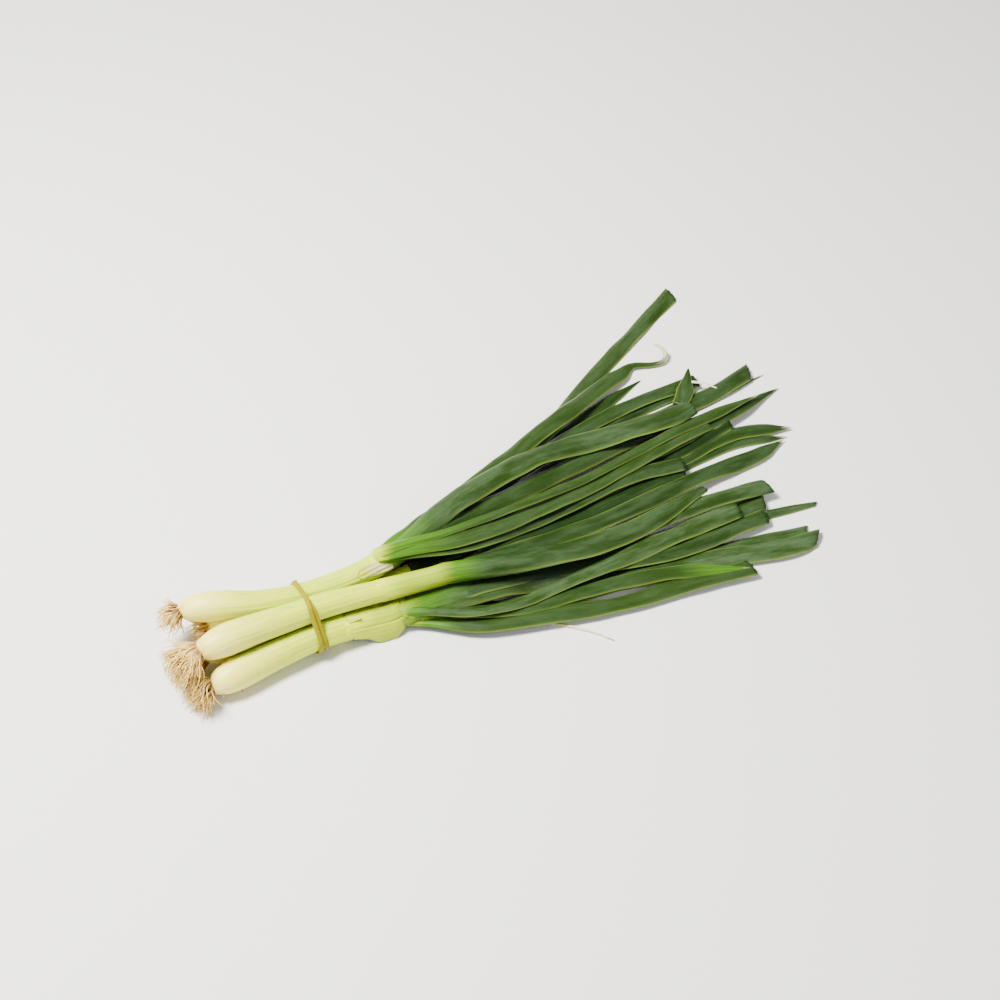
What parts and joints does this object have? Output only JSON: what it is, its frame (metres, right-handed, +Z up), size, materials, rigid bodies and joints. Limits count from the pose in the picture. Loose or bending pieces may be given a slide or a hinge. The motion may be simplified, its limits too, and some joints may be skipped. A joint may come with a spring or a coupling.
{
  "type": "spring onion bunch",
  "caption": "Bunch of spring onions lying down: white shanks with fine roots, long green leaves, tied with a yellow rubber band.",
  "frame": {"origin": "bottom centre of the whole bunch's box, on the surface it lies on", "axes": "+X along the bunch, from the roots to the leaf tips; +Z up, away from the surface it lies on"},
  "size_m": [0.4352, 0.2366, 0.0347],
  "materials": {
    "shank": "smooth moist skin",
    "roots": "dry fibre",
    "leaf": "waxy leaf",
    "dried_leaf": "dry skin",
    "band": "matte elastic"
  },
  "bodies": {
    "root": {"stem_left": "shank", "stem_right": "shank", "stem_near": "shank", "stem_middle": "shank", "stem_far": "shank", "roots_left": "roots", "roots_right": "roots", "roots_near": "roots", "roots_middle": "roots", "roots_far": "roots", "rubber_band": "band", "dried_strand": "dried_leaf", "leaf_middle_lowest": "leaf", "leaf_middle_narrow": "leaf", "leaf_middle_finger": "leaf", "leaf_middle_split": "leaf", "leaf_middle_dark": "leaf", "leaf_far_thin": "leaf", "leaf_far_lowest": "leaf", "leaf_far_broad": "leaf", "leaf_far_pointed": "leaf", "leaf_far_short": "leaf", "leaf_far_folded": "leaf", "leaf_near_lowest": "leaf", "leaf_near_outer": "leaf", "leaf_near_yellow": "leaf", "leaf_near_broad": "leaf", "leaf_near_under": "leaf", "leaf_near_upper": "leaf", "leaf_right_tube": "leaf", "leaf_right_dark": "leaf", "leaf_right_long": "leaf", "leaf_right_front": "leaf", "leaf_left_long": "leaf", "leaf_left_curled": "leaf", "leaf_left_ridge": "leaf", "leaf_left_inner": "leaf", "leaf_left_bright": "leaf", "leaf_left_narrow": "leaf", "leaf_left_broad": "leaf"}
  },
  "joints": []
}
